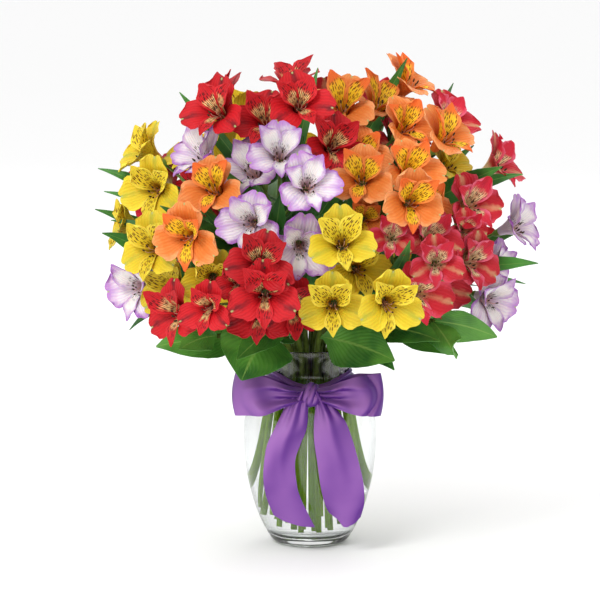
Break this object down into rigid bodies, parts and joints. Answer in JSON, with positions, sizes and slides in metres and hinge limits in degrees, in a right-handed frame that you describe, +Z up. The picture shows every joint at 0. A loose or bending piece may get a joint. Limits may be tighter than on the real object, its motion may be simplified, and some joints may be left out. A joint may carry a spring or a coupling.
{
  "type": "vase of cut alstroemeria",
  "caption": "Rounded bouquet of mixed alstroemeria umbels and broad leaves on cut stems, standing in water in a full-bellied clear glass vase with a satin bow at its neck.",
  "frame": {"origin": "centre of the vase's foot, on the surface it stands on", "axes": "+Z up; -Y towards the front, where the bow is; +X to the right as seen from the front"},
  "size_m": [0.4034, 0.3811, 0.4385],
  "materials": {
    "glass": "clear, smooth, faintly green where it is thick",
    "water": "clear water",
    "satin": "purple satin with soft highlights",
    "leaf": "satin green stems and leaves",
    "petal_red": "soft matt petals, streaked",
    "petal_cherry": "soft matt petals with a cream throat",
    "petal_orange": "soft matt petals, dashed",
    "petal_yellow": "soft matt petals, dashed brown",
    "petal_lilac": "white petals with violet edges"
  },
  "bodies": {
    "root": {"glass_vase": "glass", "ribbon_bow": "satin", "stem_cherry_back": "leaf", "stem_cherry_far": "leaf", "stem_cherry_right": "leaf", "stem_cherry_side": "leaf", "stem_cherry_top": "leaf", "stem_lilac_back": "leaf", "stem_lilac_centre": "leaf", "stem_lilac_left": "leaf", "stem_lilac_right": "leaf", "stem_orange_back": "leaf", "stem_orange_left": "leaf", "stem_orange_low_back": "leaf", "stem_orange_right": "leaf", "stem_orange_top": "leaf", "stem_red_back": "leaf", "stem_red_far": "leaf", "stem_red_low": "leaf", "stem_red_top": "leaf", "stem_spray_back_left": "leaf", "stem_spray_back_right": "leaf", "stem_spray_front": "leaf", "stem_spray_left": "leaf", "stem_spray_right": "leaf", "stem_yellow_back": "leaf", "stem_yellow_centre": "leaf", "stem_yellow_high": "leaf", "stem_yellow_left": "leaf", "stem_yellow_low_back": "leaf", "stem_yellow_right": "leaf", "umbel_cherry_back": "petal_cherry", "umbel_cherry_far": "petal_cherry", "umbel_cherry_right": "petal_cherry", "umbel_cherry_side": "petal_cherry", "umbel_cherry_top": "petal_cherry", "umbel_lilac_back": "petal_lilac", "umbel_lilac_centre": "petal_lilac", "umbel_lilac_left": "petal_lilac", "umbel_lilac_right": "petal_lilac", "umbel_orange_back": "petal_orange", "umbel_orange_left": "petal_orange", "umbel_orange_low_back": "petal_orange", "umbel_orange_right": "petal_orange", "umbel_orange_top": "petal_orange", "umbel_red_back": "petal_red", "umbel_red_far": "petal_red", "umbel_red_low": "petal_red", "umbel_red_top": "petal_red", "umbel_yellow_back": "petal_yellow", "umbel_yellow_centre": "petal_yellow", "umbel_yellow_high": "petal_yellow", "umbel_yellow_left": "petal_yellow", "umbel_yellow_low_back": "petal_yellow", "umbel_yellow_right": "petal_yellow", "water": "water"}
  },
  "joints": []
}
